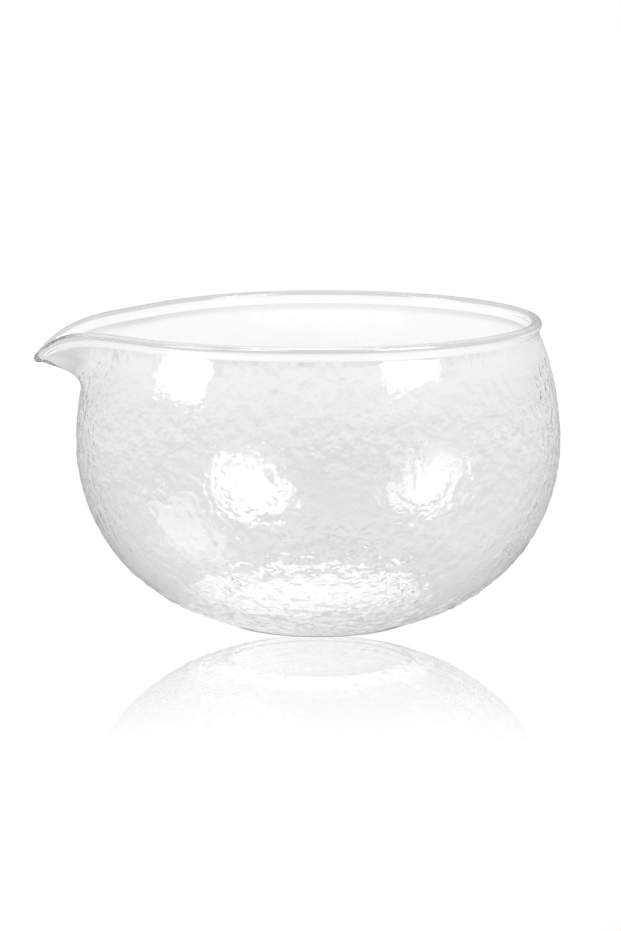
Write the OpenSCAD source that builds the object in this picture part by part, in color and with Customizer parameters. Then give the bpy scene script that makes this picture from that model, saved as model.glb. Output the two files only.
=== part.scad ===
// Matcha bowl with a pouring lip, mould-blown in clear borosilicate glass.
// It stands on the XY plane with its axis on Z, and the lip points along -X.
// The glass is one casting. Its four forming zones are separate solids that meet face to face,
// each joint square to the wall: the thick bottom, the blown wall, the fire-polished rim bead
// and the drawn lip with the dipping rim on both sides of it.

/* [Bowl] */
// Outside diameter across the belly, the widest part
belly_d = 120; // [104:1:136]
// Height from the resting face to the top of the rim bead
bowl_h = 75.3; // [67:0.1:86]
// Height of the belly above the resting face
belly_z = 44.6; // [38:0.1:52]
// Diameter of the flat resting face
base_d = 44; // [34:1:60]
// Thickness of the wall
wall_t = 2.2; // [1.6:0.1:3]
// Thickness of the bottom at its middle
base_t = 3.5; // [2.8:0.1:6]
// Radius that blends the flat floor inside into the wall
floor_blend_r = 20; // [8:1:28]

/* [Rim] */
// How far the outside of the rim bead lies inside the belly
rim_inset = 5; // [3:0.1:9]
// Diameter of the fire-polished bead
bead_d = 2.8; // [2.4:0.1:3.6]
// How far the bead stands out past the neck of the wall below it
bead_proud = 0.9; // [0.4:0.1:1.4]
// Height from the neck up to the top of the bead
neck_drop = 3; // [2.6:0.1:4]

/* [Pouring lip] */
// How far the tip of the lip reaches out past the rim bead
lip_reach = 15.2; // [8:0.1:22]
// How far the top of the lip's tip hangs below the rim
lip_drop = 9; // [4:0.1:12]
// Length of wall below the neck that bends out into the lip
lip_depth = 15.4; // [10:0.1:20]
// Rounding of the lip along the rim at its tip
lip_round = 1.7; // [1:0.1:5]
// Extra rounding where the channel of the lip runs out into the wall
throat_round = 8; // [2:0.5:14]
// Thickness of the glass at the tip of the lip
lip_t = 2.3; // [1.4:0.1:2.8]
// Softness of the bend under the lip, as a share of the bent length
bend_soft = 0.45; // [0.15:0.05:0.6]
// How far the rim dips beside the lip
rim_dip = 1.3; // [0:0.1:2.5]
// Angle round the rim from the lip's tip to where the dip ends
dip_angle = 90; // [60:1:110]

/* [Hidden] */
$fn = 180;
glass = [0.86, 0.93, 0.94, 0.5];
polished_glass = [0.93, 0.97, 0.98, 0.6];

// Steps of the lip's mesh: round the rim, up the wall and round the bead
lip_columns = 72;
lip_rows = 9;
bead_steps = 8;
// Columns crowd towards the tip by this power
column_crowding = 1.4;
// The tip hangs down more narrowly than it reaches out, by this power
hang_power = 2.5;
// The bead's arc starts and ends this far below its middle
bead_wrap = 25;
// Small steps for slopes: a share of the bent length, and degrees
row_step = 0.002;
turn_step = 0.02;

belly_r = belly_d / 2;
base_r = base_d / 2;
bead_r = bead_d / 2;
rim_r = belly_r - rim_inset;
bead_at = [rim_r - bead_r, bowl_h - bead_r];
neck_r = rim_r - bead_proud;
neck_z = bowl_h - neck_drop;
// Longer than any section of the bowl, for cutting shapes
beyond = belly_d + bowl_h;

// The outside is two arcs that meet upright at the belly
lower_in = belly_r - base_r;
lower_arc = (lower_in ^ 2 + belly_z ^ 2) / (2 * lower_in);
lower_at = [belly_r - lower_arc, belly_z];
upper_in = belly_r - neck_r;
upper_rise = neck_z - belly_z;
upper_arc = (upper_in ^ 2 + upper_rise ^ 2) / (2 * upper_in);
upper_at = [belly_r - upper_arc, belly_z];
neck_turn = asin(upper_rise / upper_arc);
mid_arc = upper_arc - wall_t / 2;

// The arc that blends the floor into the wall touches both
blend_z = base_t + floor_blend_r;
blend_off = sqrt((lower_arc - wall_t - floor_blend_r) ^ 2 - (belly_z - blend_z) ^ 2);
blend_at = [lower_at[0] + blend_off, blend_z];
base_turn = -atan2(belly_z - blend_z, blend_off);

// The lip bends the wall from here up to the middle of the bead
neck_mid = upper_at + mid_arc * heading(neck_turn);
bead_rise = norm(bead_at - neck_mid);
lip_turn = neck_turn - lip_depth / mid_arc * 180 / PI;
bent_length = lip_depth + bead_rise;
neck_row = lip_depth / bent_length;
tip_out = lip_reach + bead_r - lip_t / 2;
tip_down = lip_drop - bead_r + lip_t / 2;
// Seen from above, the sides of the lip are tangents of the rim that meet at the tip
tip_half = asin(bead_at[0] / (bead_at[0] + tip_out));
lip_angle = 90 - tip_half;

// Direction at an angle above the horizontal, in the plane of the section
function heading(turn) = [cos(turn), sin(turn)];

function unit(v) = v / norm(v);

// Share of the lip's pull at a height up the bent wall, from 0 at the bend to 1 at the bead
function bend(row) =
    (sqrt(row ^ 2 + bend_soft ^ 2) - bend_soft) / (sqrt(1 + bend_soft ^ 2) - bend_soft);

// Share of the lip's pull at an angle from its middle, blunter lower down
function spread(phi, share) =
    let (
        soft = (lip_round + throat_round * (1 - share)) / bead_at[0] * 180 / PI,
        blunt = (sqrt(phi ^ 2 + soft ^ 2) - soft) / (sqrt(lip_angle ^ 2 + soft ^ 2) - soft),
        turn = tip_half + min(blunt, 1) * lip_angle
    )
    (1 / sin(turn) - 1) / (1 / sin(tip_half) - 1);

function pull(row, phi) = bend(row) * spread(phi, bend(row));

// How far the glass hangs down: the tip by itself, and the dip of the rim beside it
function hang(row, phi) =
    let (
        tip = spread(phi, bend(row)) ^ hang_power * (tip_down - rim_dip),
        dip = cos(min(abs(phi) / dip_angle, 1) * 90) ^ 2 * rim_dip
    )
    bend(row) * (tip + dip);

// Middle of the glass before the lip is drawn: the wall's arc, then straight to the bead
function straight_mid(row) =
    row <= neck_row
    ? upper_at + mid_arc * heading(lip_turn + row / neck_row * (neck_turn - lip_turn))
    : neck_mid + (row - neck_row) / (1 - neck_row) * (bead_at - neck_mid);

// Middle of the glass in the drawn lip
function lip_mid(row, phi) =
    let (
        at = straight_mid(row),
        r = at[0] + pull(row, phi) * tip_out,
        z = at[1] - hang(row, phi)
    )
    [-r * cos(phi), -r * sin(phi), z];

function round_rim(row, phi) = lip_mid(row, phi + turn_step) - lip_mid(row, phi - turn_step);

function up_wall(row, phi) =
    row > neck_row
    ? lip_mid(1, phi) - lip_mid(neck_row, phi)
    : lip_mid(row, phi) - lip_mid(row - row_step, phi);

function outward(row, phi) = unit(cross(round_rim(row, phi), up_wall(row, phi)));

function glass_t(row, phi) = wall_t - (wall_t - lip_t) * pull(row, phi);

// One skin of the lip's wall at an angle: side is 1 outside and -1 inside
function skin(phi, side) = [
    for (k = [0 : lip_rows])
        let (row = neck_row * k / lip_rows)
        lip_mid(row, phi) + side * glass_t(row, phi) / 2 * outward(row, phi)
];

// The bead over the wall's top at an angle, from outside to inside
function bead_over(phi) =
    let (
        out = outward(1, phi),
        up = unit(up_wall(1, phi)),
        r = bead_r - (bead_r - lip_t / 2) * pull(1, phi)
    )
    [
        for (k = [0 : bead_steps])
            let (turn = -bead_wrap + k / bead_steps * (180 + 2 * bead_wrap))
            lip_mid(1, phi) + r * (cos(turn) * out + sin(turn) * up)
    ];

function reversed(list) = [for (k = [len(list) - 1 : -1 : 0]) list[k]];

// Closed section through the lip: up the outside, over the bead and down the inside
function lip_section(phi) = concat(skin(phi, 1), bead_over(phi), reversed(skin(phi, -1)));

// The part of a section between two directions from a point
module between(at, from, to) {
    polygon([
        at,
        at + beyond * heading(from),
        at + beyond * heading((from + to) / 2) * 2,
        at + beyond * heading(to)
    ]);
}

// Wall section: a band of the wall's thickness inside an arc
module band(at, radius, from, to) {
    intersection() {
        difference() {
            translate(at) circle(radius);
            translate(at) circle(radius - wall_t);
        }
        between(at, from, to);
    }
}

// Section of the thick bottom, up to the joint where the wall keeps one thickness
module base_section() {
    joint = lower_at + beyond * heading(base_turn);
    difference() {
        intersection() {
            union() {
                translate(lower_at) circle(lower_arc);
                translate([-beyond, 0]) square([beyond + lower_at[0], belly_z]);
            }
            square([belly_r, belly_z]);
            polygon([lower_at, joint, [0, joint[1]], [0, belly_z]]);
        }
        polygon([[0, base_t], [blend_at[0], base_t], blend_at, lower_at, [0, belly_z]]);
        translate(blend_at) circle(floor_blend_r);
    }
}

// Section of the rim: the bead on the neck of the wall
module bead_section() {
    up = unit(bead_at - neck_mid);
    out = [up[1], -up[0]];
    foot = bead_r * (cos(bead_wrap) * out - sin(bead_wrap) * up);
    heel = bead_r * (-cos(bead_wrap) * out - sin(bead_wrap) * up);
    polygon([
        upper_at + (upper_arc - wall_t) * heading(neck_turn),
        upper_at + upper_arc * heading(neck_turn),
        bead_at + foot,
        bead_at,
        bead_at + heel
    ]);
    translate(bead_at) circle(bead_r);
}

// Room for the lip in the wall, between the two joints beside it
module lip_window() {
    rotate([0, 0, 180 - dip_angle])
        rotate_extrude(angle = 2 * dip_angle)
            intersection() {
                between(upper_at, lip_turn, neck_turn + lip_turn);
                translate([neck_r / 2, 0]) square([belly_d, beyond]);
            }
}

module bowl_base() {
    color(glass)
        rotate_extrude() base_section();
}

module bowl_wall() {
    color(glass)
        difference() {
            rotate_extrude() {
                band(lower_at, lower_arc, base_turn, 0);
                band(upper_at, upper_arc, 0, neck_turn);
            }
            lip_window();
        }
}

module rim_bead() {
    color(polished_glass)
        rotate([0, 0, 180 + dip_angle])
            rotate_extrude(angle = 360 - 2 * dip_angle) bead_section();
}

module pouring_lip() {
    sections = [
        for (i = [0 : lip_columns])
            let (u = 2 * i / lip_columns - 1)
            lip_section(dip_angle * sign(u) * abs(u) ^ column_crowding)
    ];
    count = len(sections[0]);
    points = [for (section = sections) each section];
    sides = [
        for (i = [0 : lip_columns - 1], k = [0 : count - 1])
            let (
                a = i * count + k,
                b = i * count + (k + 1) % count,
                c = b + count,
                d = a + count
            )
            each [[a, b, c], [a, c, d]]
    ];
    // Each end is closed by a ladder from the outer to the inner skin
    half = (count - 1) / 2;
    last = lip_columns * count;
    ends = [
        for (k = [0 : half - 1])
            let (far = count - 1 - k)
            each concat(
                [[k, far, k + 1], [last + k, last + k + 1, last + far]],
                k + 1 < far - 1
                ? [[k + 1, far, far - 1], [last + k + 1, last + far - 1, last + far]]
                : []
            )
    ];
    color(polished_glass)
        polyhedron(points, concat(sides, ends));
}

bowl_base();
bowl_wall();
rim_bead();
pouring_lip();
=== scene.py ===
"""Matcha bowl with a pouring lip, blown in clear hammered glass: the looks of the part in its own frame."""

import logging
import math
from dataclasses import dataclass
from enum import Enum
from functools import cached_property
from itertools import pairwise

import bpy
import numpy as np
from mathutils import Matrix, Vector


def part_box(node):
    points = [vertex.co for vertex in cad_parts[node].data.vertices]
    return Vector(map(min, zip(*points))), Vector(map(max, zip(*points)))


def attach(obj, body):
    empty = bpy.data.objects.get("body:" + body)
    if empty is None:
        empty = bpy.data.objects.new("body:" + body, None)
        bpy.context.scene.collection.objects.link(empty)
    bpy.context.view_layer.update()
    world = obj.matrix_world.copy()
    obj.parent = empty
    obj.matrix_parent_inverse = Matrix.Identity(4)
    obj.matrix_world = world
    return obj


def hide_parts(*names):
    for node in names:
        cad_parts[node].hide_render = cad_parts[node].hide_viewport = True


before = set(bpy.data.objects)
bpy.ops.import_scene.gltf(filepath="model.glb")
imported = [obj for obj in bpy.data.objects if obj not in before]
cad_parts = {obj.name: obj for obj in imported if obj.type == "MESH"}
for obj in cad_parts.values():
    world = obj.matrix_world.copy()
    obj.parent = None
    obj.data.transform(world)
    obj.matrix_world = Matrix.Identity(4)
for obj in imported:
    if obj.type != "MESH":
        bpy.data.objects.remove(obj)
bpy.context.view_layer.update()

logging.basicConfig(level=logging.INFO, format="%(message)s")
log = logging.getLogger("matcha_bowl")

MM = 0.001
WHITE = "FFFFFF"
# Strength of white light that the picture shows as pure white, with no grey left in it
PURE_WHITE = 1.005
TIMES = {"operation": "MULTIPLY"}
LARGER = {"operation": "MAXIMUM"}
LENGTH = {"operation": "LENGTH"}
SOFTLY = {"interpolation_type": "SMOOTHSTEP"}

Span = tuple[float, float]
SocketValue = float | tuple[float, ...] | bpy.types.NodeSocket


def linear(code: str) -> tuple[float, float, float, float]:
    """Turns a colour as the eye reads it into the linear values that light works in.

    Args:
        code: sRGB colour as six hex digits.

    Returns:
        Linear red, green and blue, with full alpha.
    """
    shares = [int(code[i : i + 2], 16) / 255 for i in (0, 2, 4)]
    red, green, blue = (s / 12.92 if s <= 0.04045 else ((s + 0.055) / 1.055) ** 2.4 for s in shares)
    return red, green, blue, 1.0


def ease(low: float, high: float, value: float) -> float:
    """Rises smoothly from 0 at low to 1 at high.

    Args:
        low: Where the rise starts.
        high: Where it ends; it may lie below low.
        value: Where to read it.

    Returns:
        A share between 0 and 1.
    """
    share = min(max((value - low) / (high - low), 0.0), 1.0)
    return share * share * (3 - 2 * share)


def heading(turn: float) -> Vector:
    """Unit direction at an angle above the horizontal, in the plane of the section."""
    return Vector((math.cos(turn), math.sin(turn)))


def round_bead(out: Vector, up: Vector, turn: float) -> tuple[Vector, Vector]:
    """Direction at an angle from outward to upward, and the direction of travel there."""
    return math.cos(turn) * out + math.sin(turn) * up, math.cos(turn) * up - math.sin(turn) * out


def fillet(start: Vector, leave: Vector, end: Vector, arrive: Vector, share: float) -> Vector:
    """Reads a soft curve between two points that keeps both directions.

    Args:
        start: First point.
        leave: Unit direction there.
        end: Last point.
        arrive: Unit direction there.
        share: Where to read the curve, from 0 to 1.

    Returns:
        The point on the curve.
    """
    reach = (end - start).length / 3
    a, b = start + reach * leave, end - reach * arrive
    rest = 1 - share
    return rest**3 * start + 3 * rest**2 * share * a + 3 * rest * share**2 * b + share**3 * end


def bare_tree(owner: bpy.types.ID) -> bpy.types.NodeTree:
    """Gives a material, light or world an empty node tree.

    Args:
        owner: What the nodes belong to.

    Returns:
        The tree.
    """
    owner.use_nodes = True
    owner.node_tree.nodes.clear()
    return owner.node_tree


def add_node(
    tree: bpy.types.NodeTree,
    kind: str,
    settings: dict[str, str] | None = None,
    stops: tuple[Span, ...] = (),
    **inputs: SocketValue,
) -> bpy.types.Node:
    """Adds a shader node, sets it and links it.

    Args:
        tree: Node tree that gets the node.
        kind: Node type.
        settings: Node properties by name.
        stops: Place and grey of each stop of a ramp, in rising order.
        **inputs: Socket values by name, with underscores for spaces, or by number after an underscore; a
            socket as value is linked.

    Returns:
        The new node.
    """
    node = tree.nodes.new(kind)
    for name, value in (settings or {}).items():
        setattr(node, name, value)
    for name, value in inputs.items():
        key = int(name[1:]) if name[0] == "_" else name.replace("_", " ")
        if isinstance(value, bpy.types.NodeSocket):
            tree.links.new(value, node.inputs[key])
        else:
            node.inputs[key].default_value = value
    if stops:
        elements = node.color_ramp.elements
        for place, _ in stops[1:-1]:
            elements.new(place)
        for element, (place, grey) in zip(elements, stops):
            element.position, element.color = place, (grey, grey, grey, 1.0)
    return node


class Zone(Enum):
    """The zones of the glass section, each shaped by its own step of the making."""

    UNDERSIDE = "flat resting face"
    OUTSIDE_LOW = "outside of the wall below the belly"
    OUTSIDE_HIGH = "outside of the wall above the belly"
    NECK_OUT = "hollow under the bead, outside"
    BEAD = "fire-polished bead"
    NECK_IN = "inside of the wall, where the bead runs into it"
    INSIDE_HIGH = "inside of the wall above the belly"
    INSIDE_LOW = "inside of the wall below the belly"
    FLOOR = "inside of the bottom"


class Skin(Enum):
    """The two skins of the wall, as the side of its middle that they lie on."""

    OUTSIDE = 1
    INSIDE = -1


class Relief(Enum):
    """The kinds of relief in the glass, each with a vertex group for its strength."""

    HAMMERED = "hammered"
    FOLDED = "folded"


@dataclass(frozen=True)
class SectionPoint:
    """One point of the glass section: where it lies, its zone and its place along that zone."""

    at: Vector
    zone: Zone
    place: float


@dataclass(frozen=True)
class Arc:
    """A round stretch of the glass section, between two angles above the horizontal."""

    zone: Zone
    at: Vector
    radius: float
    first: float
    last: float

    def points(self, gap: float, closed: bool = False) -> list[SectionPoint]:
        """Spaces points along the arc.

        Args:
            gap: Distance between the points.
            closed: Whether the last point counts too.

        Returns:
            The points in order.
        """
        count = max(2, round(abs(self.last - self.first) * self.radius / gap))
        turns = [self.first + (self.last - self.first) * k / count for k in range(count + closed)]
        return [SectionPoint(self.at + self.radius * heading(turn), self.zone, turn) for turn in turns]


@dataclass(frozen=True)
class BowlForm:
    """Sizes of the blown form in metres, with the arcs and the joint lines that follow from them."""

    belly_r: float
    bowl_h: float
    tip_r: float
    belly_z: float = 44.6 * MM
    base_r: float = 22.0 * MM
    wall_t: float = 2.2 * MM
    base_t: float = 3.5 * MM
    floor_blend_r: float = 20.0 * MM
    rim_inset: float = 5.0 * MM
    bead_r: float = 1.4 * MM
    bead_proud: float = 0.9 * MM
    neck_drop: float = 3.0 * MM
    neck_soft: float = math.radians(0.4)
    neck_soft_in: float = math.radians(1.2)
    bead_first: float = math.radians(-25)
    bead_last: float = math.radians(180)
    bead_steps: int = 24
    neck_steps: int = 6
    neck_steps_in: int = 4
    underside_rings: tuple[float, ...] = (0.0, 0.2, 0.4, 0.6, 0.78, 0.9, 0.97)
    floor_rings: tuple[float, ...] = (0.96, 0.88, 0.78, 0.66, 0.5, 0.34, 0.17, 0.0)

    @classmethod
    def from_frame(cls) -> "BowlForm":
        """Takes the main sizes from the solids of the frame."""
        return cls(
            belly_r=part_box("bowl_wall")[1].y,
            bowl_h=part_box("rim_bead")[1].z,
            tip_r=-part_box("pouring_lip")[0].x,
        )

    @cached_property
    def rim_r(self) -> float:
        """Outside radius of the bead."""
        return self.belly_r - self.rim_inset

    @cached_property
    def bead_at(self) -> Vector:
        """Middle of the bead's section."""
        return Vector((self.rim_r - self.bead_r, self.bowl_h - self.bead_r))

    @cached_property
    def lower_arc(self) -> float:
        """Radius of the outside below the belly."""
        inset = self.belly_r - self.base_r
        return (inset**2 + self.belly_z**2) / (2 * inset)

    @cached_property
    def lower_at(self) -> Vector:
        """Centre of the arc below the belly."""
        return Vector((self.belly_r - self.lower_arc, self.belly_z))

    @cached_property
    def neck_rise(self) -> float:
        """Height of the neck above the belly."""
        return self.bowl_h - self.neck_drop - self.belly_z

    @cached_property
    def upper_arc(self) -> float:
        """Radius of the outside above the belly."""
        inset = self.rim_inset + self.bead_proud
        return (inset**2 + self.neck_rise**2) / (2 * inset)

    @cached_property
    def upper_at(self) -> Vector:
        """Centre of the arc above the belly."""
        return Vector((self.belly_r - self.upper_arc, self.belly_z))

    @cached_property
    def inner_upper_arc(self) -> float:
        """Radius of the inside above the belly."""
        return self.upper_arc - self.wall_t

    @cached_property
    def neck_turn(self) -> float:
        """Angle above the horizontal at which the wall ends in the neck."""
        return math.asin(self.neck_rise / self.upper_arc)

    @cached_property
    def wall_end(self) -> float:
        """Angle at which the outside of the wall starts to turn into the neck."""
        return self.neck_turn - self.neck_soft

    @cached_property
    def wall_end_in(self) -> float:
        """Angle at which the inside of the wall starts to turn into the bead."""
        return self.neck_turn - self.neck_soft_in

    @cached_property
    def mid_arc(self) -> float:
        """Radius of the middle of the glass above the belly."""
        return self.upper_arc - self.wall_t / 2

    @cached_property
    def neck_mid(self) -> Vector:
        """Middle of the glass at the neck."""
        return self.upper_at + self.mid_arc * heading(self.neck_turn)

    @cached_property
    def blend_at(self) -> Vector:
        """Centre of the arc that blends the floor into the wall."""
        height = self.base_t + self.floor_blend_r
        reach = self.lower_arc - self.wall_t - self.floor_blend_r
        return Vector((self.lower_at.x + math.sqrt(reach**2 - (self.belly_z - height) ** 2), height))

    @cached_property
    def base_turn(self) -> float:
        """Angle at which the blend arc meets the wall."""
        return math.atan2(self.blend_at.y - self.belly_z, self.blend_at.x - self.lower_at.x)

    @cached_property
    def foot_turn(self) -> float:
        """Angle at which the outside of the wall meets the resting face."""
        return math.atan2(-self.belly_z, self.base_r - self.lower_at.x)

    def on_bead(self, turn: float) -> tuple[Vector, Vector]:
        """Finds a point on the bead's section.

        Args:
            turn: Angle round the bead, from outward to upward.

        Returns:
            The point and the direction of travel there.
        """
        up = (self.bead_at - self.neck_mid).normalized()
        around, along = round_bead(Vector((up.y, -up.x)), up, turn)
        return self.bead_at + self.bead_r * around, along

    def rim(self) -> list[SectionPoint]:
        """Draws the section of the rim, from the outside of the wall over the bead to the inside.

        Returns:
            The points between the ends of the two skins of the wall.
        """
        points = []
        outer = self.upper_at + self.upper_arc * heading(self.wall_end)
        rise = heading(self.wall_end + math.pi / 2)
        for k in range(1, self.neck_steps):
            share = k / self.neck_steps
            at = fillet(outer, rise, *self.on_bead(self.bead_first), share)
            points.append(SectionPoint(at, Zone.NECK_OUT, share))
        for k in range(self.bead_steps + 1):
            turn = self.bead_first + (self.bead_last - self.bead_first) * k / self.bead_steps
            points.append(SectionPoint(self.on_bead(turn)[0], Zone.BEAD, turn))
        inner = self.upper_at + self.inner_upper_arc * heading(self.wall_end_in)
        fall = -heading(self.wall_end_in + math.pi / 2)
        for k in range(1, self.neck_steps_in):
            share = k / self.neck_steps_in
            at = fillet(*self.on_bead(self.bead_last), inner, fall, share)
            points.append(SectionPoint(at, Zone.NECK_IN, share))
        return points

    def section(self, step: float, inner_step: float) -> list[SectionPoint]:
        """Draws the closed section of the glass from the axis under the base to the axis above it.

        Args:
            step: Spacing of the points along the outside of the wall.
            inner_step: Spacing along the inside.

        Returns:
            The points in order, outside first.
        """
        underside = [
            SectionPoint(Vector((self.base_r * share, 0.0)), Zone.UNDERSIDE, share)
            for share in self.underside_rings
        ]
        outside_low = Arc(Zone.OUTSIDE_LOW, self.lower_at, self.lower_arc, self.foot_turn, 0.0)
        outside_high = Arc(Zone.OUTSIDE_HIGH, self.upper_at, self.upper_arc, 0.0, self.wall_end)
        inside_high = Arc(Zone.INSIDE_HIGH, self.upper_at, self.inner_upper_arc, self.wall_end_in, 0.0)
        inside_low = Arc(Zone.INSIDE_LOW, self.lower_at, self.lower_arc - self.wall_t, 0.0, self.base_turn)
        blend = Arc(Zone.FLOOR, self.blend_at, self.floor_blend_r, self.base_turn, -math.pi / 2)
        floor = [
            SectionPoint(Vector((self.blend_at.x * share, self.base_t)), Zone.FLOOR, share)
            for share in self.floor_rings
        ]
        return [
            *underside,
            *outside_low.points(step),
            *outside_high.points(step, closed=True),
            *self.rim(),
            *inside_high.points(inner_step),
            *inside_low.points(inner_step),
            *blend.points(inner_step, closed=True),
            *floor,
        ]


@dataclass(frozen=True)
class DrawnLip:
    """The lip that is drawn out of the hot rim: how far each point of the wall is pulled.

    A row is a height up the bent wall, as a share of its length from where it starts to bend to the middle
    of the bead. The angle phi is measured round the rim from the tip.
    """

    form: BowlForm
    drop: float = 9.0 * MM
    depth: float = 15.4 * MM
    tip_round: float = 1.7 * MM
    throat_round: float = 8.0 * MM
    tip_t: float = 2.3 * MM
    bend_soft: float = 0.45
    rim_dip: float = 1.3 * MM
    dip_angle: float = math.radians(90)
    hang_power: float = 2.5
    row_step: float = 0.002
    turn_step: float = math.radians(0.02)

    @cached_property
    def start_turn(self) -> float:
        """Angle above the horizontal at which the wall starts to bend out."""
        return self.form.neck_turn - self.depth / self.form.mid_arc

    @cached_property
    def neck_row(self) -> float:
        """Share of the bent length that lies below the neck."""
        return self.depth / (self.depth + (self.form.bead_at - self.form.neck_mid).length)

    @cached_property
    def tip_out(self) -> float:
        """How far the middle of the bead moves out at the tip."""
        return self.form.tip_r - self.tip_t / 2 - self.form.bead_at.x

    @cached_property
    def tip_down(self) -> float:
        """How far the middle of the bead moves down at the tip."""
        return self.drop - self.form.bead_r + self.tip_t / 2

    @cached_property
    def tip_half(self) -> float:
        """Half the angle between the sides of the lip, seen from above."""
        return math.asin(self.form.bead_at.x / (self.form.bead_at.x + self.tip_out))

    @cached_property
    def half_angle(self) -> float:
        """Angle round the rim from the tip to where the lip leaves the round."""
        return math.pi / 2 - self.tip_half

    def bend(self, row: float) -> float:
        """Share of the pull at a row."""
        soft = self.bend_soft
        return (math.hypot(row, soft) - soft) / (math.hypot(1, soft) - soft)

    def spread(self, phi: float, share: float) -> float:
        """Share of the pull at an angle from the tip, blunter lower down.

        Args:
            phi: Angle round the rim from the tip.
            share: Share of the pull at this row.

        Returns:
            A share from 1 at the tip to 0 where the lip leaves the round.
        """
        soft = (self.tip_round + self.throat_round * (1 - share)) / self.form.bead_at.x
        blunt = (math.hypot(phi, soft) - soft) / (math.hypot(self.half_angle, soft) - soft)
        turn = self.tip_half + min(blunt, 1.0) * self.half_angle
        return (1 / math.sin(turn) - 1) / (1 / math.sin(self.tip_half) - 1)

    def pull(self, row: float, phi: float) -> float:
        """Share of the lip's full reach at a row and an angle."""
        share = self.bend(row)
        return share * self.spread(phi, share)

    def hang(self, row: float, phi: float) -> float:
        """Works out how far the glass hangs down: the tip by itself, and the dip of the rim beside it.

        Args:
            row: Height up the bent wall.
            phi: Angle from the tip.

        Returns:
            The distance down.
        """
        share = self.bend(row)
        tip = self.spread(phi, share) ** self.hang_power * (self.tip_down - self.rim_dip)
        dip = math.cos(min(abs(phi) / self.dip_angle, 1.0) * math.pi / 2) ** 2 * self.rim_dip
        return share * (tip + dip)

    def row_at(self, turn: float) -> float:
        """Row of a point on the wall's arc."""
        return self.neck_row * (turn - self.start_turn) / (self.form.neck_turn - self.start_turn)

    def middle(self, row: float, phi: float) -> Vector:
        """Finds the middle of the glass in the drawn lip.

        Args:
            row: Height up the bent wall.
            phi: Angle from the tip.

        Returns:
            The point in the part's frame.
        """
        form = self.form
        if row <= self.neck_row:
            turn = self.start_turn + row / self.neck_row * (form.neck_turn - self.start_turn)
            at = form.upper_at + form.mid_arc * heading(turn)
        else:
            at = form.neck_mid.lerp(form.bead_at, (row - self.neck_row) / (1 - self.neck_row))
        radius = at.x + self.pull(row, phi) * self.tip_out
        return Vector((-radius * math.cos(phi), -radius * math.sin(phi), at.y - self.hang(row, phi)))

    def directions(self, row: float, phi: float) -> tuple[Vector, Vector]:
        """Finds how the drawn glass faces.

        Args:
            row: Height up the bent wall.
            phi: Angle from the tip.

        Returns:
            Unit directions outward and upward.
        """
        if row > self.neck_row:
            up = self.middle(1, phi) - self.middle(self.neck_row, phi)
        else:
            up = self.middle(row, phi) - self.middle(row - self.row_step, phi)
        along = self.middle(row, phi + self.turn_step) - self.middle(row, phi - self.turn_step)
        return along.cross(up).normalized(), up.normalized()

    def on_wall(self, turn: float, phi: float, skin: Skin) -> Vector:
        """Finds a point on a skin of the drawn wall.

        Args:
            turn: Its angle on the wall's arc before drawing.
            phi: Angle from the tip.
            skin: The skin that it lies on.

        Returns:
            The point in the part's frame.
        """
        row = self.row_at(turn)
        thickness = self.form.wall_t - (self.form.wall_t - self.tip_t) * self.pull(row, phi)
        return self.middle(row, phi) + skin.value * thickness / 2 * self.directions(row, phi)[0]

    def on_bead(self, turn: float, phi: float) -> tuple[Vector, Vector]:
        """Finds a point on the drawn bead.

        Args:
            turn: Angle round the bead, from outward to upward.
            phi: Angle from the tip.

        Returns:
            The point and the direction of travel round the bead.
        """
        around, along = round_bead(*self.directions(1, phi), turn)
        radius = self.form.bead_r - (self.form.bead_r - self.tip_t / 2) * self.pull(1, phi)
        return self.middle(1, phi) + radius * around, along

    def reaches(self, point: SectionPoint) -> bool:
        """Says whether drawing the lip moves a point.

        Args:
            point: Point of the plain section.

        Returns:
            True if it moves.
        """
        if point.zone in (Zone.OUTSIDE_HIGH, Zone.INSIDE_HIGH):
            return point.place > self.start_turn
        return point.zone in (Zone.NECK_OUT, Zone.BEAD, Zone.NECK_IN)

    def pull_at(self, point: SectionPoint, phi: float) -> float:
        """Share of the lip's full reach at a point of the section and an angle from the tip."""
        high = point.zone in (Zone.OUTSIDE_HIGH, Zone.INSIDE_HIGH)
        return self.pull(self.row_at(point.place) if high else 1.0, phi)

    def moved(self, point: SectionPoint, phi: float) -> Vector:
        """Finds where drawing the lip takes a point of the section.

        Args:
            point: Point of the plain section that the lip reaches.
            phi: Its angle from the tip.

        Returns:
            The point in the part's frame.
        """
        form = self.form
        match point.zone:
            case Zone.OUTSIDE_HIGH:
                return self.on_wall(point.place, phi, Skin.OUTSIDE)
            case Zone.INSIDE_HIGH:
                return self.on_wall(point.place, phi, Skin.INSIDE)
            case Zone.BEAD:
                return self.on_bead(point.place, phi)[0]
            case Zone.NECK_OUT:
                wall = self.on_wall(form.wall_end, phi, Skin.OUTSIDE)
                rise = self.directions(self.row_at(form.wall_end), phi)[1]
                return fillet(wall, rise, *self.on_bead(form.bead_first, phi), point.place)
        wall = self.on_wall(form.wall_end_in, phi, Skin.INSIDE)
        rise = self.directions(self.row_at(form.wall_end_in), phi)[1]
        return fillet(*self.on_bead(form.bead_last, phi), wall, -rise, point.place)


@dataclass(frozen=True)
class HammerMark:
    """One size of the marks that the mould leaves in the glass."""

    name: str
    size: float
    depth: float
    relief: Relief


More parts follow.
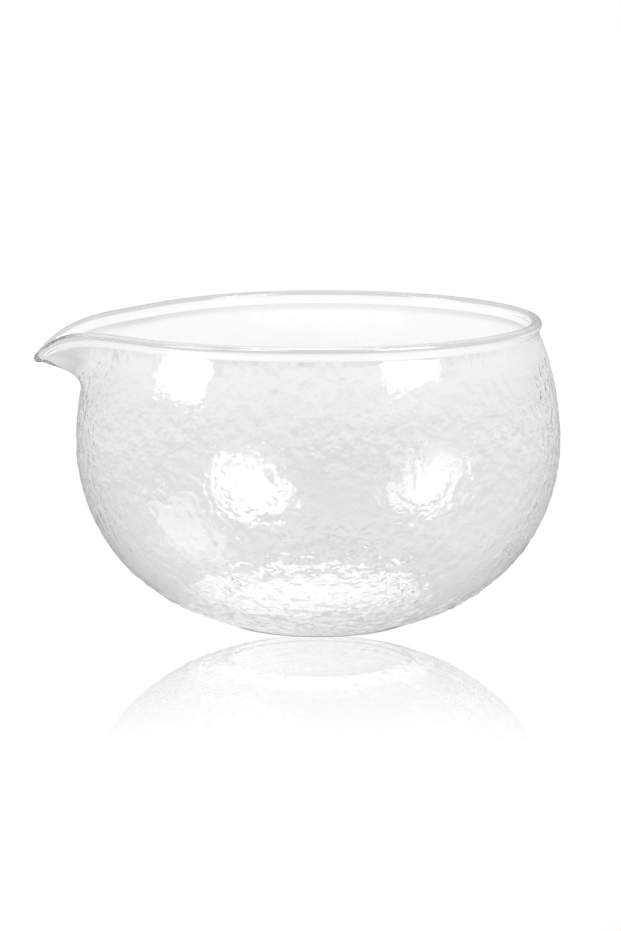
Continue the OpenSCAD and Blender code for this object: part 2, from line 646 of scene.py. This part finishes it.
@dataclass(frozen=True)
class BlownGlass:
    """Clear borosilicate glass blown into a hammered mould and fire-polished at the rim."""

    name: str = "borosilicate glass, mould-blown"
    clear: str = "FEFEFE"
    hammered: str = "F2F2F2"
    ior: float = 1.47
    roughness: float = 0.0
    grain_size: float = 1.1 * MM
    grain_depth: float = 0.14 * MM
    grain_flat: float = 1.1
    grain_mark: str = "mould_grain"

    def material(self) -> bpy.types.Material:
        """Makes the glass: sharp and colourless, with a fine grain where the mould touched it.

        Returns:
            The material, which reads the grain's strength from the mesh.
        """
        material = bpy.data.materials.new(self.name)
        tree = bare_tree(material)
        place = add_node(tree, "ShaderNodeTexCoord").outputs["Object"]
        # Grain about a millimetre across, flattened a little, breaks the highlights up at their edges
        flat = add_node(tree, "ShaderNodeVectorMath", TIMES, _0=place, _1=(1.0, 1.0, self.grain_flat))
        grain = add_node(
            tree, "ShaderNodeTexNoise", {"noise_dimensions": "3D"},
            Vector=flat.outputs["Vector"], Scale=1 / self.grain_size, Detail=0.0,
        )
        share = add_node(tree, "ShaderNodeAttribute", {"attribute_name": self.grain_mark}).outputs["Fac"]
        relief = add_node(tree, "ShaderNodeMath", TIMES, _0=grain.outputs["Fac"], _1=share)
        bump = add_node(
            tree, "ShaderNodeBump", Height=relief.outputs["Value"], Strength=1.0, Distance=self.grain_depth
        )
        # Marked glass scatters a little light, so it looks greyer than the clear rim and lip
        tint = add_node(
            tree, "ShaderNodeMix", {"data_type": "RGBA"},
            _0=share, _6=linear(self.clear), _7=linear(self.hammered),
        )
        glass = add_node(
            tree, "ShaderNodeBsdfPrincipled",
            Base_Color=tint.outputs[2], Roughness=self.roughness, IOR=self.ior,
            Transmission_Weight=1.0, Normal=bump.outputs["Normal"],
        )
        add_node(tree, "ShaderNodeOutputMaterial", Surface=glass.outputs["BSDF"])
        return material


@dataclass(frozen=True)
class GlassBowl:
    """The whole bowl: bottom, hammered wall, rim bead and lip, which are one piece of glass.

    Each fade runs between two heights, from where its effect is nil to where it is full, and lip_fade between
    two shares of the lip's pull.
    """

    form: BowlForm
    lip: DrawnLip
    glass: BlownGlass
    columns: int = 480
    step: float = 0.9 * MM
    inner_step: float = 1.6 * MM
    merge_gap: float = 0.001 * MM
    crowding: float = 0.45
    crowded_to: float = math.radians(25)
    marks: tuple[HammerMark, ...] = (
        HammerMark("mould dimples", 1.6 * MM, 0.56 * MM, Relief.HAMMERED),
        HammerMark("blowing waves", 5.0 * MM, 0.12 * MM, Relief.HAMMERED),
        HammerMark("foot folds", 2.0 * MM, 0.6 * MM, Relief.FOLDED),
    )
    outside_mark: float = 0.6
    inside_mark: float = 0.3
    floor_mark: float = 0.21
    foot_fade: Span = (0.2 * MM, 3 * MM)
    rim_fade: Span = (72 * MM, 56 * MM)
    lip_fade: Span = (0.3, 0.02)
    fold_fade_low: Span = (0.1 * MM, 1.5 * MM)
    fold_fade_high: Span = (16 * MM, 9 * MM)
    foot_grain: float = 0.8
    foot_grain_fade: Span = (14 * MM, 6 * MM)

    def build(self) -> bpy.types.Object:
        """Blows, draws, hammers and dresses the bowl.

        Returns:
            The finished piece.
        """
        section = self.form.section(self.step, self.inner_step)
        bowl = self.blow(section)
        self.draw(bowl, section)
        self.hammer(bowl)
        bowl.data.materials.append(self.glass.material())
        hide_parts("bowl_base", "bowl_wall", "rim_bead", "pouring_lip")
        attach(bowl, "root")
        return bowl

    def blow(self, section: list[SectionPoint]) -> bpy.types.Object:
        """Draws the section point by point and spins it round the axis.

        Args:
            section: Points of the glass section, outside first.

        Returns:
            The round bowl, closed at both poles.
        """
        bpy.ops.object.select_all(action="DESELECT")
        bpy.ops.mesh.primitive_plane_add(size=MM)
        bowl = bpy.context.object
        bowl.name = bowl.data.name = "glass_bowl"
        bpy.ops.object.mode_set(mode="EDIT")
        bpy.ops.mesh.select_all(action="SELECT")
        bpy.ops.mesh.merge(type="CENTER")
        for before, point in pairwise(section):
            way = point.at - before.at
            bpy.ops.mesh.extrude_region_move(TRANSFORM_OT_translate={"value": (way.x, 0.0, way.y)})
        bpy.ops.mesh.select_all(action="SELECT")
        bpy.ops.mesh.spin(steps=self.columns, angle=2 * math.pi, center=(0, 0, 0), axis=(0, 0, 1))
        bpy.ops.mesh.select_all(action="SELECT")
        bpy.ops.mesh.remove_doubles(threshold=self.merge_gap)
        bpy.ops.mesh.normals_make_consistent(inside=False)
        bpy.ops.object.mode_set(mode="OBJECT")
        bpy.ops.object.shade_smooth()
        return bowl

    def draw(self, bowl: bpy.types.Object, section: list[SectionPoint]) -> None:
        """Pulls the lip out of the round rim and notes how strong the relief is at each point.

        Args:
            bowl: The round bowl.
            section: The section that it was spun from.
        """
        mesh = bowl.data
        round_places = np.empty(len(mesh.vertices) * 3)
        mesh.vertices.foreach_get("co", round_places)
        along_x, along_y, heights = round_places.reshape(-1, 3).T
        radii = np.hypot(along_x, along_y)
        # The columns crowd together at the tip of the lip, where the rim bends most
        phis = np.arctan2(-along_y, -along_x)
        phis *= 1 - self.crowding * np.exp(-((phis / self.crowded_to) ** 2))
        places = np.stack((-radii * np.cos(phis), -radii * np.sin(phis), heights), axis=1)
        grains = np.zeros(len(phis))
        groups = {relief: bowl.vertex_groups.new(name=relief.value) for relief in Relief}
        ring_of = self.rings(section, radii, heights)
        for ring, point in enumerate(section):
            there = np.flatnonzero(ring_of == ring)
            mark, grain = self.mark_at(point), self.grain_at(point)
            grains[there] = mark * grain
            groups[Relief.HAMMERED].add(there.tolist(), mark, "REPLACE")
            groups[Relief.FOLDED].add(there.tolist(), self.fold_at(point), "REPLACE")
            if not self.lip.reaches(point):
                continue
            for index in there[np.abs(phis[there]) < self.lip.dip_angle].tolist():
                places[index] = self.lip.moved(point, phis[index])
                faded = mark * ease(*self.lip_fade, self.lip.pull_at(point, phis[index]))
                grains[index] = faded * grain
                groups[Relief.HAMMERED].add([index], faded, "REPLACE")
        mesh.vertices.foreach_set("co", places.ravel())
        mesh.attributes.new(self.glass.grain_mark, "FLOAT", "POINT").data.foreach_set("value", grains)
        mesh.update()

    @staticmethod
    def rings(section: list[SectionPoint], radii: np.ndarray, heights: np.ndarray) -> np.ndarray:
        """Finds the point of the section that each vertex was spun from.

        Args:
            section: The points in order.
            radii: Distance of each vertex from the axis.
            heights: Height of each vertex.

        Returns:
            The index of the point for each vertex.
        """
        nearest, index = np.full(len(radii), np.inf), np.zeros(len(radii), int)
        for ring, point in enumerate(section):
            away = np.hypot(radii - point.at.x, heights - point.at.y)
            closer = away < nearest
            nearest[closer], index[closer] = away[closer], ring
        return index

    def mark_at(self, point: SectionPoint) -> float:
        """Says how strongly the mould marks a point: the resting face, the neck and the rim stay smooth.

        Args:
            point: Point of the section.

        Returns:
            A share from 0 to 1.
        """
        height = point.at.y
        match point.zone:
            case Zone.OUTSIDE_LOW:
                return self.outside_mark * ease(*self.foot_fade, height)
            case Zone.OUTSIDE_HIGH:
                return self.outside_mark * ease(*self.rim_fade, height)
            case Zone.INSIDE_HIGH:
                return self.inside_mark * ease(*self.rim_fade, height)
            case Zone.INSIDE_LOW:
                return self.inside_mark
            case Zone.FLOOR:
                return self.floor_mark
        return 0.0

    def fold_at(self, point: SectionPoint) -> float:
        """Says how strongly the glass folds at a point: only round the foot, where it cools first.

        Args:
            point: Point of the section.

        Returns:
            A share from 0 to 1.
        """
        if point.zone is not Zone.OUTSIDE_LOW:
            return 0.0
        return ease(*self.fold_fade_high, point.at.y) * ease(*self.fold_fade_low, point.at.y)

    def grain_at(self, point: SectionPoint) -> float:
        """Says how strong the fine grain is beside the marks at a point: it softens round the foot.

        Args:
            point: Point of the section.

        Returns:
            A share from 0 to 1.
        """
        if point.zone is not Zone.OUTSIDE_LOW:
            return 1.0
        return 1 + (self.foot_grain - 1) * ease(*self.foot_grain_fade, point.at.y)

    def hammer(self, bowl: bpy.types.Object) -> None:
        """Presses the mould's marks into the glass, always inwards.

        Args:
            bowl: The drawn bowl.
        """
        bpy.context.view_layer.objects.active = bowl
        for mark in self.marks:
            texture = bpy.data.textures.new(mark.name, "CLOUDS")
            texture.noise_scale = mark.size
            texture.noise_depth = 0
            press = bowl.modifiers.new(mark.name, "DISPLACE")
            press.texture = texture
            press.texture_coords = "LOCAL"
            press.vertex_group = mark.relief.value
            press.mid_level = 1.0
            press.strength = mark.depth
            bpy.ops.object.modifier_apply(modifier=press.name)


@dataclass(frozen=True)
class Floor:
    """White floor: a glowing sheet that is half clear near the bowl, over a mirror a little below it."""

    size: float = 6.0
    gap: float = 0.05 * MM
    # The mirror: its depth below the sheet, and the share of it that shows, which fades with the distance
    mirror_depth: float = 5.2 * MM
    mirror: float = 0.74
    mirror_fade: Span = (18 * MM, 140 * MM)
    mirror_squeeze: float = 0.45
    mirror_roughness: float = 0.02
    # The light that the glass sees on the sheet: by slant, by distance from the axis, and when it is mirrored
    sheen: tuple[Span, ...] = ((0.0, 0.78), (0.70, 0.74), (0.87, 1.0))
    shadow: tuple[Span, ...] = (
        (0.0, 0.92), (38 * MM, 0.92), (52 * MM, 1.0), (130 * MM, 1.0), (200 * MM, 0.94), (420 * MM, 1.0)
    )
    overhang: Span = (60 * MM, 110 * MM)
    overhang_light: Span = (0.3, 0.5)
    # The left softbox's shine: its share, which ends between two places along X
    shine: float = 0.45
    shine_end: Span = (-20 * MM, 20 * MM)
    # The pool of light under the bottom: an oval, with its edge between two shares of its size
    pool: float = 1.75
    pool_at: Span = (-4 * MM, 12 * MM)
    pool_size: Span = (33 * MM, 27 * MM)
    pool_turn: float = math.radians(-25)
    pool_edge: Span = (0.92, 1.08)
    # The thin ring of shadow where the curved foot leaves the floor
    contact: float = 0.18
    contact_r: float = 23.2 * MM
    contact_wide: float = 1.25 * MM

    def build(self) -> list[bpy.types.Object]:
        """Lays the sheet at the resting face and the mirror below it; both are part of the stage.

        Returns:
            The two planes.
        """
        return [
            self.lay("floor", -self.gap, self.sheet()),
            self.lay("floor_mirror", -self.gap - self.mirror_depth, self.polish()),
        ]

    def lay(self, name: str, height: float, material: bpy.types.Material) -> bpy.types.Object:
        """Lays one plane of the floor.

        Args:
            name: Name of the plane.
            height: Where it lies.
            material: Its finish.

        Returns:
            The plane.
        """
        bpy.ops.object.select_all(action="DESELECT")
        bpy.ops.mesh.primitive_plane_add(size=self.size, location=(0.0, 0.0, height))
        plane = bpy.context.object
        plane.name = plane.data.name = name
        plane.data.materials.append(material)
        return plane

    def polish(self) -> bpy.types.Material:
        """Makes the back of the sheet: polished, so that it mirrors the bowl.

        Returns:
            The material.
        """
        material = bpy.data.materials.new("acrylic sheet, polished back")
        tree = bare_tree(material)
        mirror = add_node(tree, "ShaderNodeBsdfGlossy", Color=linear(WHITE), Roughness=self.mirror_roughness)
        add_node(tree, "ShaderNodeOutputMaterial", Surface=mirror.outputs["BSDF"])
        return material

    def sheet(self) -> bpy.types.Material:
        """Makes the top of the sheet: white acrylic that glows, and is half clear near the bowl.

        Returns:
            The material.
        """
        material = bpy.data.materials.new("acrylic sheet, white")
        tree = bare_tree(material)
        place = add_node(tree, "ShaderNodeTexCoord").outputs["Object"]
        reach = add_node(tree, "ShaderNodeVectorMath", LENGTH, _0=place).outputs["Value"]
        path = add_node(tree, "ShaderNodeLightPath")
        mirrored = path.outputs["Is Reflection Ray"]
        contact = self.contact_ring(tree, reach)
        direct = add_node(tree, "ShaderNodeMath", TIMES, _0=path.outputs["Is Camera Ray"], _1=contact)
        # To the camera the sheet is plain white with a painted contact shadow ring, and the glass shows the
        # light and shade painted on it
        plain = add_node(tree, "ShaderNodeMath", TIMES, _0=direct.outputs["Value"], _1=PURE_WHITE)
        # The bowl throws a wide soft shadow, with a ring of gathered light round its foot
        shadow = add_node(tree, "ShaderNodeValToRGB", stops=self.shadow, Fac=reach)
        light = self.slanted_light(tree, reach, mirrored)
        for share in (shadow.outputs["Color"], self.pool_light(tree, place), contact):
            light = add_node(tree, "ShaderNodeMath", TIMES, _0=light, _1=share).outputs["Value"]
        seen = add_node(tree, "ShaderNodeMath", LARGER, _0=light, _1=plain.outputs["Value"])
        glow = add_node(tree, "ShaderNodeEmission", Color=linear(WHITE), Strength=seen.outputs["Value"])
        gloss = add_node(tree, "ShaderNodeBsdfGlossy", Color=linear(WHITE), Roughness=0.0)
        lit = add_node(
            tree, "ShaderNodeMixShader",
            _0=self.left_shine(tree, place, mirrored), _1=glow.outputs["Emission"], _2=gloss.outputs["BSDF"],
        )
        gone = add_node(tree, "ShaderNodeBsdfTransparent")
        mixed = add_node(
            tree, "ShaderNodeMixShader",
            _0=self.clearness(tree, place, direct.outputs["Value"]),
            _1=lit.outputs["Shader"], _2=gone.outputs["BSDF"],
        )
        add_node(tree, "ShaderNodeOutputMaterial", Surface=mixed.outputs["Shader"])
        return material

    def contact_ring(self, tree: bpy.types.NodeTree, reach: bpy.types.NodeSocket) -> bpy.types.NodeSocket:
        """Draws the thin ring of shadow where the curved foot leaves the floor.

        Args:
            tree: Node tree of the sheet.
            reach: Distance from the axis.

        Returns:
            The share of light that is left.
        """
        off = add_node(tree, "ShaderNodeMath", {"operation": "SUBTRACT"}, _0=reach, _1=self.contact_r)
        near = add_node(tree, "ShaderNodeMath", {"operation": "ABSOLUTE"}, _0=off.outputs["Value"])
        ring = add_node(
            tree, "ShaderNodeMapRange", SOFTLY,
            Value=near.outputs["Value"], From_Min=0.0, From_Max=self.contact_wide,
            To_Min=self.contact, To_Max=1.0,
        )
        return ring.outputs["Result"]

    def slanted_light(
        self, tree: bpy.types.NodeTree, reach: bpy.types.NodeSocket, mirrored: bpy.types.NodeSocket
    ) -> bpy.types.NodeSocket:
        """Works out the light by how the sheet is seen.

        Args:
            tree: Node tree of the sheet.
            reach: Distance from the axis.
            mirrored: Whether the glass mirrors the sheet.

        Returns:
            The share of light.
        """
        # Seen from steeply above it is darker, because less of the bright backdrop shines in it
        slant = add_node(tree, "ShaderNodeLayerWeight", Blend=0.5)
        sheen = add_node(tree, "ShaderNodeValToRGB", stops=self.sheen, Fac=slant.outputs["Facing"])
        # The glass mirrors a dimmer sheet, darkest under its own overhang
        shade = add_node(
            tree, "ShaderNodeMapRange", SOFTLY,
            Value=reach, From_Min=self.overhang[0], From_Max=self.overhang[1],
            To_Min=self.overhang_light[0], To_Max=self.overhang_light[1],
        )
        dim = add_node(tree, "ShaderNodeMapRange", Value=mirrored, To_Min=1.0, To_Max=shade.outputs["Result"])
        light = add_node(tree, "ShaderNodeMath", TIMES, _0=sheen.outputs["Color"], _1=dim.outputs["Result"])
        return light.outputs["Value"]

    def pool_light(self, tree: bpy.types.NodeTree, place: bpy.types.NodeSocket) -> bpy.types.NodeSocket:
        """Gathers light in an oval under the thick bottom of the bowl and behind it.

        Args:
            tree: Node tree of the sheet.
            place: Place on the sheet.

        Returns:
            How many times brighter the sheet is.
        """
        behind = add_node(
            tree, "ShaderNodeVectorMath", {"operation": "SUBTRACT"}, _0=place, _1=(*self.pool_at, 0.0)
        )
        turned = add_node(
            tree, "ShaderNodeVectorRotate", {"rotation_type": "Z_AXIS"},
            Vector=behind.outputs["Vector"], Angle=self.pool_turn,
        )
        shaped = add_node(
            tree, "ShaderNodeVectorMath", {"operation": "DIVIDE"},
            _0=turned.outputs["Vector"], _1=(*self.pool_size, 1.0),
        )
        radius = add_node(tree, "ShaderNodeVectorMath", LENGTH, _0=shaped.outputs["Vector"])
        pool = add_node(
            tree, "ShaderNodeMapRange", SOFTLY,
            Value=radius.outputs["Value"], From_Min=self.pool_edge[0], From_Max=self.pool_edge[1],
            To_Min=self.pool, To_Max=1.0,
        )
        return pool.outputs["Result"]

    def left_shine(
        self, tree: bpy.types.NodeTree, place: bpy.types.NodeSocket, mirrored: bpy.types.NodeSocket
    ) -> bpy.types.NodeSocket:
        """Lets the left softbox shine in the sheet where the glass mirrors it from below.

        Args:
            tree: Node tree of the sheet.
            place: Place on the sheet.
            mirrored: Whether the glass mirrors the sheet.

        Returns:
            The share of gloss.
        """
        axes = add_node(tree, "ShaderNodeSeparateXYZ", Vector=place)
        left = add_node(
            tree, "ShaderNodeMapRange", SOFTLY,
            Value=axes.outputs["X"], From_Min=self.shine_end[0], From_Max=self.shine_end[1],
            To_Min=self.shine, To_Max=0.0,
        )
        shine = add_node(tree, "ShaderNodeMath", TIMES, _0=mirrored, _1=left.outputs["Result"])
        return shine.outputs["Value"]

    def clearness(
        self, tree: bpy.types.NodeTree, place: bpy.types.NodeSocket, direct: bpy.types.NodeSocket
    ) -> bpy.types.NodeSocket:
        """Lets the mirror show near the bowl; from below the sheet is fully clear.

        Args:
            tree: Node tree of the sheet.
            place: Place on the sheet.
            direct: Share of light that reaches the camera with nothing between, darkened by the painted
                contact shadow ring.

        Returns:
            How clear the sheet is.
        """
        squeezed = add_node(tree, "ShaderNodeVectorMath", TIMES, _0=place, _1=(self.mirror_squeeze, 1.0, 1.0))
        away = add_node(tree, "ShaderNodeVectorMath", LENGTH, _0=squeezed.outputs["Vector"])
        fade = add_node(
            tree, "ShaderNodeMapRange", SOFTLY,
            Value=away.outputs["Value"], From_Min=self.mirror_fade[0], From_Max=self.mirror_fade[1],
            To_Min=self.mirror, To_Max=0.0,
        )
        share = add_node(tree, "ShaderNodeMath", TIMES, _0=fade.outputs["Result"], _1=direct)
        below = add_node(tree, "ShaderNodeNewGeometry").outputs["Backfacing"]
        clear = add_node(tree, "ShaderNodeMath", LARGER, _0=share.outputs["Value"], _1=below)
        return clear.outputs["Value"]


@dataclass(frozen=True)
class Softbox:
    """A rectangular softbox that faces the bowl; angles are in degrees, seen from the bowl."""

    name: str
    azimuth: float
    elevation: float
    width: float
    height: float
    radiance: float
    distance: float = 1.2
    bounces: float = 12.0

    def build(self, aim: Vector) -> bpy.types.Object:
        """Hangs the softbox and turns it to the bowl.

        Args:
            aim: Point that it faces.

        Returns:
            The light.
        """
        turn, lift = math.radians(self.azimuth), math.radians(self.elevation)
        way = Vector((math.sin(turn) * math.cos(lift), -math.cos(turn) * math.cos(lift), math.sin(lift)))
        light = bpy.data.lights.new(self.name, "AREA")
        light.shape = "RECTANGLE"
        light.size = 2 * self.distance * math.tan(math.radians(self.width / 2))
        light.size_y = 2 * self.distance * math.tan(math.radians(self.height / 2))
        light.energy = self.radiance * math.pi * light.size * light.size_y
        # Light that is led round and round inside the rim is left out, because it only makes specks
        tree = bare_tree(light)
        path = add_node(tree, "ShaderNodeLightPath")
        straight = add_node(
            tree, "ShaderNodeMath", {"operation": "LESS_THAN"}, _0=path.outputs["Ray Depth"], _1=self.bounces
        )
        glow = add_node(tree, "ShaderNodeEmission", Color=linear(WHITE), Strength=straight.outputs["Value"])
        add_node(tree, "ShaderNodeOutputLight", Surface=glow.outputs["Emission"])
        lamp = bpy.data.objects.new(self.name, light)
        lamp.location = aim + self.distance * way
        lamp.rotation_euler = way.to_track_quat("Z", "Y").to_euler()
        bpy.context.scene.collection.objects.link(lamp)
        return lamp


@dataclass(frozen=True)
class Studio:
    """White surroundings, dim where the glass mirrors them, and the two softboxes."""

    boxes: tuple[Softbox, ...] = (
        Softbox("softbox left", -75.0, 34.0, 28.0, 34.0, 5.0),
        Softbox("softbox right", 51.0, 45.5, 29.0, 39.0, 7.0),
    )
    in_mirror: float = 0.3
    bounces: int = 64

    def build(self, aim: Vector) -> list[bpy.types.Object]:
        """Sets the surroundings, the lights and how light is followed.

        Args:
            aim: Point that the softboxes face.

        Returns:
            The lights.
        """
        scene = bpy.context.scene
        scene.world = self.surroundings()
        scene.view_settings.view_transform = "Standard"
        scene.view_settings.look = "None"
        cycles = scene.cycles
        cycles.max_bounces = cycles.transmission_bounces = cycles.glossy_bounces = self.bounces
        # Guided by the picture alone, the denoiser keeps the hammered grain
        cycles.use_denoising = True
        cycles.denoising_input_passes = "RGB"
        cycles.denoising_prefilter = "NONE"
        return [box.build(aim) for box in self.boxes]

    def surroundings(self) -> bpy.types.World:
        """Makes the white surroundings.

        Returns:
            The world.
        """
        world = bpy.data.worlds.new("white studio")
        tree = bare_tree(world)
        path = add_node(tree, "ShaderNodeLightPath")
        # What the glass mirrors is the dim room round the set, not the white backdrop
        mirrored = add_node(
            tree, "ShaderNodeMath", TIMES,
            _0=path.outputs["Is Reflection Ray"], _1=path.outputs["Is Singular Ray"],
        )
        light = add_node(
            tree, "ShaderNodeMapRange", Value=mirrored.outputs["Value"], To_Min=1.0, To_Max=self.in_mirror
        )
        plain = add_node(tree, "ShaderNodeMath", TIMES, _0=path.outputs["Is Camera Ray"], _1=PURE_WHITE)
        seen = add_node(
            tree, "ShaderNodeMath", LARGER, _0=light.outputs["Result"], _1=plain.outputs["Value"]
        )
        sky = add_node(tree, "ShaderNodeBackground", Color=linear(WHITE), Strength=seen.outputs["Value"])
        add_node(tree, "ShaderNodeOutputWorld", Surface=sky.outputs["Background"])
        return world


@dataclass(frozen=True)
class PhotoCamera:
    """The camera at the photograph's place, in metres and degrees, with its lens in millimetres."""

    aim_side: float = -1.909 * MM
    aim_height: float = 38.096 * MM
    distance: float = 0.8
    elevation: float = 10.14
    lens: float = 124.56
    sensor: float = 36.0
    nearest: float = 0.01

    def build(self) -> bpy.types.Object:
        """Sets the camera up.

        Returns:
            The camera, which becomes the scene's.
        """
        camera = bpy.data.cameras.new("photo camera")
        camera.lens = self.lens
        camera.sensor_width = self.sensor
        camera.sensor_fit = "AUTO"
        camera.clip_start = self.nearest
        lift = math.radians(self.elevation)
        way = Vector((0.0, -math.cos(lift), math.sin(lift)))
        stand = bpy.data.objects.new("photo camera", camera)
        stand.location = Vector((self.aim_side, 0.0, self.aim_height)) + self.distance * way
        stand.rotation_euler = way.to_track_quat("Z", "Y").to_euler()
        bpy.context.scene.collection.objects.link(stand)
        bpy.context.scene.camera = stand
        return stand


def main() -> None:
    """Builds the bowl, the stage, the light and the camera in order, reports them and notes the sizes."""
    form = BowlForm.from_frame()
    bowl = GlassBowl(form, DrawnLip(form), BlownGlass()).build()
    planes = Floor().build()
    lamps = Studio().build(Vector((0.0, 0.0, form.belly_z)))
    camera = PhotoCamera().build()
    for piece in (bowl, *planes):
        log.info("%s: %d points, %d faces", piece.name, len(piece.data.vertices), len(piece.data.polygons))
    for piece in (*lamps, camera):
        log.info("%s: %.2f m from the bowl", piece.name, piece.location.length)


if __name__ == "__main__":
    main()
